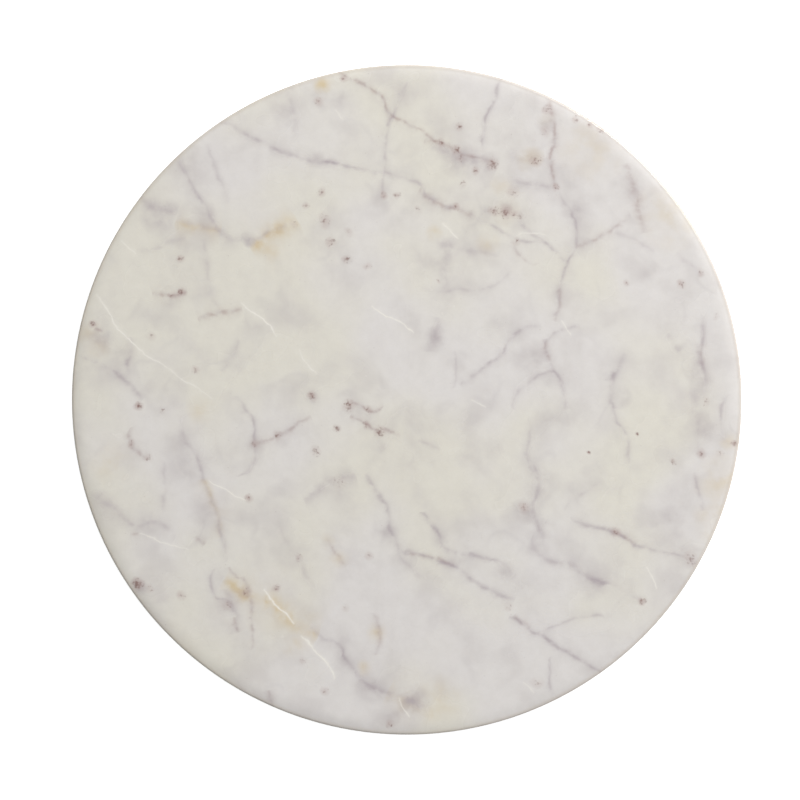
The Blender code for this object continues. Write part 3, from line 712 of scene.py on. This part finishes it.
# ---- feet ----
# Four grey rubber pads, bonded in shallow pockets under the base so that it doesn't slide
# or scratch the table. The moulded tread has two grooves and a rounded outer edge.

FOOT_EDGE_RADIUS = 0.8 * MM
GROOVE_RADII = (5.8 * MM, 3.6 * MM)
GROOVE_WIDTH = 0.9 * MM
GROOVE_DEPTH = 0.4 * MM


def foot_profile():
    edge_centre = (FOOT_RADIUS - FOOT_EDGE_RADIUS, FOOT_EDGE_RADIUS)
    profile = [(0.0, FOOT_HEIGHT), (FOOT_RADIUS, FOOT_HEIGHT)]
    profile += arc(edge_centre, FOOT_EDGE_RADIUS, 0.0, -QUARTER, ARRIS_STEPS)
    for radius in GROOVE_RADII:
        profile += [
            (radius + GROOVE_WIDTH / 2, 0.0), (radius + GROOVE_WIDTH / 4, GROOVE_DEPTH),
            (radius - GROOVE_WIDTH / 4, GROOVE_DEPTH), (radius - GROOVE_WIDTH / 2, 0.0),
        ]
    return [*profile, (0.0, 0.0)]


def moulded_rubber(name):
    """Dark grey rubber, moulded: matt, faintly dusty, with a fine leathery grain."""
    material, tree, shader = new_material(name, {"IOR": 1.52, "Specular IOR Level": 0.35})
    place = in_millimetres(tree)
    dust = uneven(tree, place, 3.0, 5.0, (0.45, 0.75), (0.0, 0.6))
    colour = stained(tree, linear("#3a3a39"), "#6b6965", dust)
    matt = uneven(tree, place, 1.5, 3.0, (0.3, 0.7), (0.68, 0.85))
    # The mould's leathery grain is 0.2 mm, drawn at 0.5 mm so that it shows.
    grain = add_node(tree, "TexVoronoi", {"Vector": place, "Scale": 1 / 0.5}, "Distance")
    bump = add_node(tree, "Bump", {"Height": grain, "Strength": 0.4, "Distance": 0.05 * MM})
    link_finish(tree, shader, {"Base Color": colour, "Roughness": matt, "Normal": bump})
    return material


rubber = moulded_rubber("rubber_moulded_foot")
foot = turned("foot", foot_profile(), SMALL_STEPS)
fit_row(foot, "foot", upright, 0.0, "rubber", rubber, "base")


# ---- lower race plate ----
# A square of 1 mm galvanised steel, pressed with the ring groove that the balls run in. Its
# middle is drawn up into a hub and curled outwards over the upper plate, which holds the
# bearing together.

SHEET = 1.0 * MM
SEAT_GAP = 0.1 * MM
SCREW_PLAY = 0.5 * MM
PLATE_CORNER_RADIUS = 10.0 * MM
CORNER_STEPS = 10
RACE_STEPS = 160
RACE_ARC = math.radians(40.0)
RACE_ARC_STEPS = 8
RACE_GAP = 0.15 * MM
SHOULDER_WIDTH = 1.6 * MM
RAMP_WIDTH = 2.0 * MM
CAGE_GAP = 0.8 * MM
INNER_RIM_WIDTH = 3.8 * MM
HUB_WALL = 1.0 * MM
HUB_PLAY = 0.5 * MM
LIP_PLAY = 0.3 * MM
LIP_THICKNESS = 0.8 * MM
LIP_GRIP = 1.9 * MM
CURL_STEPS = 5

SLAB_LOW, SLAB_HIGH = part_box("marble_top")
SLAB_BOTTOM = SLAB_LOW.z
SLAB_TOP = SLAB_HIGH.z
PLATE_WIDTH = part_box("lower_race_plate")[1].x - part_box("lower_race_plate")[0].x
BALL_RADIUS = (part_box("ball_1")[1].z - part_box("ball_1")[0].z) / 2
BALL_CIRCLE_RADIUS = middle("ball_1").x
CAGE_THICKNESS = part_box("ball_cage")[1].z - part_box("ball_cage")[0].z
BEARING_HEIGHT = SLAB_BOTTOM - BASE_TOP
PLATE_TO_BALLS = BEARING_HEIGHT / 2 - SEAT_GAP
SHOULDER_LEVEL = PLATE_TO_BALLS - CAGE_THICKNESS / 2 - CAGE_GAP
SHOULDER_REACH = (BALL_RADIUS + RACE_GAP) * math.sin(RACE_ARC) + SHOULDER_WIDTH
HUB_RADIUS = BALL_CIRCLE_RADIUS - SHOULDER_REACH - INNER_RIM_WIDTH - HUB_PLAY


def race_profile():
    """The ball side of a race plate, from the flat round the ring inwards.

    Levels are counted from the face that is screwed against the marble.
    """
    outer_shoulder = BALL_CIRCLE_RADIUS + SHOULDER_REACH
    inner_shoulder = BALL_CIRCLE_RADIUS - SHOULDER_REACH
    groove = arc(
        (BALL_CIRCLE_RADIUS, PLATE_TO_BALLS), BALL_RADIUS + RACE_GAP,
        RACE_ARC - QUARTER, -RACE_ARC - QUARTER, RACE_ARC_STEPS,
    )
    return [
        (outer_shoulder + RAMP_WIDTH, SHEET), (outer_shoulder, SHOULDER_LEVEL),
        *groove, (inner_shoulder, SHOULDER_LEVEL),
    ]


def sheet_back(face):
    """The other side of the sheet, one thickness behind its face."""
    return [(radius, level - SHEET) for radius, level in face]


def square_trimmer(angle):
    """A tall square bar with round corners, turned by an angle, that trims a round blank."""
    bar = bmesh.new()
    bmesh.ops.create_cube(bar, size=1.0)
    bar.transform(Matrix.Diagonal((PLATE_WIDTH, PLATE_WIDTH, 2 * SLAB_TOP, 1.0)))
    uprights = [edge for edge in bar.edges if (edge.verts[0].co - edge.verts[1].co).z != 0.0]
    bmesh.ops.bevel(
        bar, geom=uprights, offset=PLATE_CORNER_RADIUS, segments=CORNER_STEPS, profile=0.5,
        affect="EDGES",
    )
    bar.transform(Matrix.Rotation(angle, 4, "Z"))
    return working_object("trimmer", bar)


def race_plate(name, profile, angle, screws):
    """A turned blank trimmed to a square with round corners, then drilled for its screws."""
    plate = shaped(turned(name, profile, RACE_STEPS, closed=True), [square_trimmer(angle)], "INTERSECT")
    holes = rods("screw_holes", SHANK_RADIUS + SCREW_PLAY, screws, BASE_BOTTOM, SLAB_TOP)
    return shaped(plate, [holes])


def lower_plate_profile():
    face = race_profile()
    bore = HUB_RADIUS - HUB_WALL
    lip_under = BEARING_HEIGHT - 2 * SEAT_GAP - (SHOULDER_LEVEL - SHEET) + LIP_PLAY
    lip_top = lip_under + LIP_THICKNESS
    lip_reach = HUB_RADIUS + HUB_PLAY + LIP_GRIP
    round_over = LIP_THICKNESS / 2
    curl = arc((lip_reach - round_over, lip_top - round_over), round_over, QUARTER, -QUARTER, CURL_STEPS)
    crown = arc((bore + round_over, lip_top - round_over), round_over, math.pi, QUARTER, CURL_STEPS)
    hub = [
        (bore, SHOULDER_LEVEL - SHEET), *crown, *curl,
        (HUB_RADIUS, lip_under), (HUB_RADIUS, SHOULDER_LEVEL),
    ]
    return [(PLATE_WIDTH, SHEET), (PLATE_WIDTH, 0.0), *sheet_back(face), *hub, *face[::-1]]


def galvanised_sheet(name):
    """Hot-dip galvanised sheet: grey zinc in spangles a few millimetres wide.

    Where the balls run, the zinc is rubbed to a bright ring.
    """
    material, tree, shader = new_material(name, {"Metallic": 1.0})
    place = in_millimetres(tree)
    spangles = add_node(tree, "TexVoronoi", {"Vector": place, "Scale": 1 / 4.5}, "Color")
    shade = add_node(tree, "SeparateColor", {0: spangles})
    colour = stained(tree, linear("#a9adaf"), "#c9ccce", shade)
    stain = uneven(tree, place, 11.0, 4.0, (0.5, 0.75), (0.0, 0.5))
    colour = stained(tree, colour, "#8f9293", stain)
    off_track = add_node(tree, "Math", {
        0: reach_from_axis(tree, place), 1: BALL_CIRCLE_RADIUS / MM,
    }, operation="SUBTRACT")
    off_track = add_node(tree, "Math", {0: off_track}, operation="ABSOLUTE")
    track = add_node(tree, "MapRange", {
        "Value": off_track, "From Min": 0.5, "From Max": 1.6, "To Min": 1.0, "To Max": 0.0,
    }, interpolation_type="SMOOTHSTEP")
    colour = stained(tree, colour, "#d4d4d2", track)
    dull = add_node(tree, "Math", {0: shade, 1: 0.16, 2: 0.34}, operation="MULTIPLY_ADD")
    rubbed = add_node(tree, "Math", {0: track, 1: -0.55, 2: 1.0}, operation="MULTIPLY_ADD")
    rough = add_node(tree, "Math", {0: dull, 1: rubbed}, operation="MULTIPLY")
    bump = add_node(tree, "Bump", {"Height": shade, "Strength": 0.15, "Distance": 0.02 * MM})
    link_finish(tree, shader, {"Base Color": colour, "Roughness": rough, "Normal": bump})
    return material


galvanised = galvanised_sheet("steel_galvanised_sheet")
lower_screws = [middle(node) for node in numbered("base_screw")]
lower_seat = BASE_TOP + SEAT_GAP
lower_profile = [(radius, lower_seat + level) for radius, level in lower_plate_profile()]
lower_mesh = race_plate("lower_plate", lower_profile, 0.0, lower_screws)
fit_piece("lower_plate", lower_mesh, galvanised, "base", ["lower_race_plate"])


# ---- base screws ----
# Four pan-head screws with a cross recess, bright zinc plated, that clamp the lower plate
# to the base. Their threads bite into the nylon. The upper plate has four more of them.

HEAD_RADIUS = 3.9 * MM
HEAD_HEIGHT = 2.2 * MM
HEAD_EDGE_RADIUS = 1.3 * MM
SCREW_LENGTH = 8.0 * MM
SCREW_TIP_LENGTH = 1.6 * MM
THREAD_PITCH = 0.8 * MM
THREAD_DEPTH = 0.3 * MM
RECESS_WIDTH = 0.9 * MM
RECESS_SPAN = 4.0 * MM
RECESS_DEPTH = 1.3 * MM
RECESS_TAPER = 0.55
UNDER_HEAD = SEAT_GAP + SHEET + SEAT_GAP


def threads():
    """Ridges down the shank, one at each pitch, that stand for the turns of the thread."""
    ridges = []
    length = SCREW_LENGTH - SCREW_TIP_LENGTH
    for number in range(int(length / THREAD_PITCH)):
        level = -(number + 0.5) * THREAD_PITCH
        ridges.append((SHANK_RADIUS - THREAD_DEPTH, level + THREAD_PITCH / 4))
        ridges.append((SHANK_RADIUS, level))
        ridges.append((SHANK_RADIUS - THREAD_DEPTH, level - THREAD_PITCH / 4))
    return ridges


def recess_blade(angle):
    """One of the two tapered blades of the cross recess."""
    blade = bmesh.new()
    bmesh.ops.create_cone(
        blade, cap_ends=True, segments=4, radius1=RECESS_TAPER / math.sqrt(2), radius2=1 / math.sqrt(2),
        depth=1.0,
    )
    blade.transform(Matrix.Rotation(math.radians(45.0), 4, "Z"))
    blade.transform(Matrix.Diagonal((RECESS_SPAN, RECESS_WIDTH, RECESS_DEPTH * 2, 1.0)))
    blade.transform(Matrix.Translation((0.0, 0.0, HEAD_HEIGHT)))
    blade.transform(Matrix.Rotation(angle, 4, "Z"))
    return working_object("recess", blade)


def screw_mesh():
    """Level 0 is the underside of the head."""
    dome_centre = (HEAD_RADIUS - HEAD_EDGE_RADIUS, HEAD_HEIGHT - HEAD_EDGE_RADIUS)
    dome = arc(dome_centre, HEAD_EDGE_RADIUS, QUARTER, 0.0, ARRIS_STEPS)
    profile = [
        (0.0, HEAD_HEIGHT), *dome, (HEAD_RADIUS, 0.0), (SHANK_RADIUS, 0.0), *threads(),
        (SHANK_RADIUS - THREAD_DEPTH, SCREW_TIP_LENGTH - SCREW_LENGTH), (0.0, -SCREW_LENGTH),
    ]
    return shaped(turned("screw", profile, SMALL_STEPS), [recess_blade(0.0), recess_blade(QUARTER)])


def zinc_plate(name):
    """Bright zinc plating: a clear bluish silver, with a faint straw cast and driver scuffs."""
    material, tree, shader = new_material(name, {"Metallic": 1.0})
    place = in_millimetres(tree)
    cast = uneven(tree, place, 2.5, 2.0, (0.35, 0.65), (0.0, 1.0))
    colour = stained(tree, linear("#c3c7cb"), "#cbc7b6", cast)
    # A driver's scuffs are 0.1 mm wide, drawn in patches of 0.6 mm so that they show.
    scuffs = uneven(tree, place, 0.6, 4.0, (0.35, 0.7), (0.22, 0.42))
    link_finish(tree, shader, {"Base Color": colour, "Roughness": scuffs})
    return material


zinc = zinc_plate("steel_zinc_plated_screw")
screw = screw_mesh()
head_seat = BASE_TOP + UNDER_HEAD
fit_row(screw, "base_screw", upright, head_seat, "zinc", zinc, "base")


# ---- balls and cage ----
# Twenty hardened steel balls, ground and greased, spaced by a flat nylon ring. They roll
# between the plates, so they go round at half the slab's speed.

BALL_COUNT = 20
BALL_STEPS = 32
CAGE_PLAY = 0.2 * MM
CAGE_CHAMFER = 0.25 * MM
CAGE_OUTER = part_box("ball_cage")[1].x
CAGE_INNER = 2 * BALL_CIRCLE_RADIUS - CAGE_OUTER
BALL_LEVEL = middle("ball_1").z


def ground_steel(name):
    """Ground and lapped bearing steel: almost a mirror, clouded by smears of grease."""
    material, tree, shader = new_material(name, {"Metallic": 1.0})
    place = in_millimetres(tree)
    smear = uneven(tree, place, 1.6, 3.0, (0.4, 0.7), (0.0, 0.5))
    colour = stained(tree, linear("#c6c7c9"), "#a9a391", smear)
    clouded = add_node(tree, "Math", {0: smear, 1: 0.44, 2: 0.08}, operation="MULTIPLY_ADD")
    link_finish(tree, shader, {"Base Color": colour, "Roughness": clouded})
    return material


def cage_profile():
    bottom = BALL_LEVEL - CAGE_THICKNESS / 2
    top = BALL_LEVEL + CAGE_THICKNESS / 2
    return [
        (CAGE_OUTER - CAGE_CHAMFER, top), (CAGE_OUTER, top - CAGE_CHAMFER),
        (CAGE_OUTER, bottom + CAGE_CHAMFER), (CAGE_OUTER - CAGE_CHAMFER, bottom),
        (CAGE_INNER + CAGE_CHAMFER, bottom), (CAGE_INNER, bottom + CAGE_CHAMFER),
        (CAGE_INNER, top - CAGE_CHAMFER), (CAGE_INNER + CAGE_CHAMFER, top),
    ]


steel = ground_steel("steel_ground_ball")
sphere = bmesh.new()
bmesh.ops.create_uvsphere(sphere, u_segments=BALL_STEPS, v_segments=BALL_STEPS // 2, radius=BALL_RADIUS)
ball = applied(working_object("ball", sphere))
fit_row(ball, "ball", upright, BALL_LEVEL, "steel", steel, "cage", BALL_COUNT)

ball_places = [middle(node) for node in numbered("ball", BALL_COUNT)]
cage_nylon = moulded_nylon("nylon_moulded_cage", "#e3e0d4")
cage_mesh = shaped(turned("cage", cage_profile(), RACE_STEPS, closed=True), [
    rods("pockets", BALL_RADIUS + CAGE_PLAY, ball_places, BASE_TOP, SLAB_BOTTOM),
])
fit_piece("nylon_cage", cage_mesh, cage_nylon, "cage", ["ball_cage"])


# ---- upper race plate, with its screws and anchors ----
# A second pressing, without a hub, turned upside down and an eighth of a turn round. It is
# held to the slab by four screws that a driver reaches through the hole in the base.

UPPER_SEAT = SLAB_BOTTOM - SEAT_GAP


def upper_plate_profile():
    face = [*race_profile(), (HUB_RADIUS + HUB_PLAY, SHOULDER_LEVEL)]
    return [(PLATE_WIDTH, 0.0), (PLATE_WIDTH, SHEET), *face, *sheet_back(face)[::-1]]


upper_screws = [middle(node) for node in numbered("top_screw")]
upper_profile = [(radius, UPPER_SEAT - level) for radius, level in upper_plate_profile()]
upper_mesh = race_plate("upper_plate", upper_profile, math.radians(45.0), upper_screws)
fit_piece("upper_plate", upper_mesh, galvanised, "slab", ["upper_race_plate"])

head_seat = SLAB_BOTTOM - UNDER_HEAD
fit_row(anchor, "top_anchor", upside_down, SLAB_BOTTOM, "nylon", nylon, "slab")
fit_row(screw, "top_screw", upside_down, head_seat, "zinc", zinc, "slab")


# ---- marble slab ----
# The round slab that food is served from, 15 mm thick, cut from the same marble. Its face
# was ground flat and polished, and by hand polishing falls away a little towards the rim.

SLAB_RADIUS = SLAB_HIGH.y
ROLL_WIDTH = 7.0 * MM
ROLL_DROP = 0.55 * MM
ROLL_STEPS = 10


def slab_profile():
    """A face that rolls off towards the rim, then an eased arris above and below."""
    flat_radius = SLAB_RADIUS - EDGE_RADIUS - ROLL_WIDTH
    roll = []
    for step in range(ROLL_STEPS + 1):
        share = step / ROLL_STEPS
        roll.append((flat_radius + share * ROLL_WIDTH, SLAB_TOP - share ** 3 * ROLL_DROP))
    slope = math.atan(3 * ROLL_DROP / ROLL_WIDTH)
    side = eased_side(SLAB_RADIUS, SLAB_TOP - ROLL_DROP, SLAB_BOTTOM, slope)
    return [(0.0, SLAB_TOP), *roll, *side, (0.0, SLAB_BOTTOM)]


top_anchors = [middle(node) for node in numbered("top_anchor")]
anchor_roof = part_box("top_anchor_1")[1].z + BOND_GAP
slab_mesh = disc_mesh("marble_slab", slab_profile(), [
    rods("anchor_holes", ANCHOR_RADIUS + BOND_GAP, top_anchors, SLAB_BOTTOM - CUT_MARGIN, anchor_roof),
])
slab_marble = polished_marble("marble_polished_slab", 0.0, (0.0, 0.0), SLAB_TOP, SLAB_RADIUS)
fit_piece("marble_slab", slab_mesh, slab_marble, "slab", ["marble_top"])


# ---- table, light and camera ----
# A white table and backdrop, one large soft light behind on the right, and a surround that
# is weaker on the other side, so that the rim turns bright on one side and dark on the other.

VIEW_WIDTH = 363.6 * MM
VIEW_MIDDLE = (-3.1 * MM, -0.1 * MM)
LENS = 100.0
SENSOR = 36.0
FLOOR_RADIUS = 8.0
TABLE_GLOW = 0.7
SURROUND = 0.6
SURROUND_SLANT = 0.5
KEY_SIZE = 0.9
KEY_POWER = 31.5
KEY_DISTANCE = 2.0
KEY_HEIGHT_ANGLE = math.radians(36.0)
KEY_SIDE_ANGLE = math.radians(45.0)

floor_shape = bmesh.new()
bmesh.ops.create_circle(floor_shape, cap_ends=True, segments=128, radius=FLOOR_RADIUS)
floor = working_object("floor", floor_shape)
white_paper, paper_tree, paper_shader = new_material("white_paper", {
    "Base Color": linear("#f4f4f3"), "Roughness": 0.9, "Emission Color": (1.0, 1.0, 1.0, 1.0),
})
seen = add_node(paper_tree, "LightPath", {}, "Is Camera Ray")
glow = add_node(paper_tree, "Math", {0: seen, 1: TABLE_GLOW}, operation="MULTIPLY")
link_finish(paper_tree, paper_shader, {"Emission Strength": glow})
floor.data.materials.append(white_paper)

key = bpy.data.lights.new("key_softbox", "AREA")
key.shape = "SQUARE"
key.size = KEY_SIZE
key.energy = KEY_POWER
key.color = (1.0, 0.99, 0.975)
key_object = put_in_scene("key_softbox", key)
towards_key = Vector((
    math.cos(KEY_HEIGHT_ANGLE) * math.cos(KEY_SIDE_ANGLE),
    math.cos(KEY_HEIGHT_ANGLE) * math.sin(KEY_SIDE_ANGLE),
    math.sin(KEY_HEIGHT_ANGLE),
))
key_object.location = towards_key * KEY_DISTANCE
key_object.rotation_euler = towards_key.to_track_quat("Z", "Y").to_euler()

world = bpy.data.worlds.new("white_surround")
world.use_nodes = True
sky = world.node_tree
backdrop = sky.nodes["Background"]
direction = add_node(sky, "TexCoord", {}, "Generated")
slant = add_node(sky, "VectorMath", {
    0: direction, 1: (towards_key.x, towards_key.y, 0.0),
}, "Value", operation="DOT_PRODUCT")
lit = add_node(sky, "Math", {0: slant, 1: SURROUND_SLANT, 2: SURROUND}, operation="MULTIPLY_ADD")
seen = add_node(sky, "LightPath", {}, "Is Camera Ray")
backdrop_strength = add_node(sky, "Mix", {"Factor": seen, 2: lit, 3: 1.0})
backdrop.inputs["Color"].default_value = linear("#fdfeff")
sky.links.new(backdrop_strength, backdrop.inputs["Strength"])
bpy.context.scene.world = world
bpy.context.scene.view_settings.view_transform = "Standard"

camera = bpy.data.cameras.new("camera")
camera.lens = LENS
camera.sensor_width = SENSOR
camera_object = put_in_scene("camera", camera)
camera_object.location = (*VIEW_MIDDLE, SLAB_TOP + VIEW_WIDTH * LENS / SENSOR)
bpy.context.scene.camera = camera_object
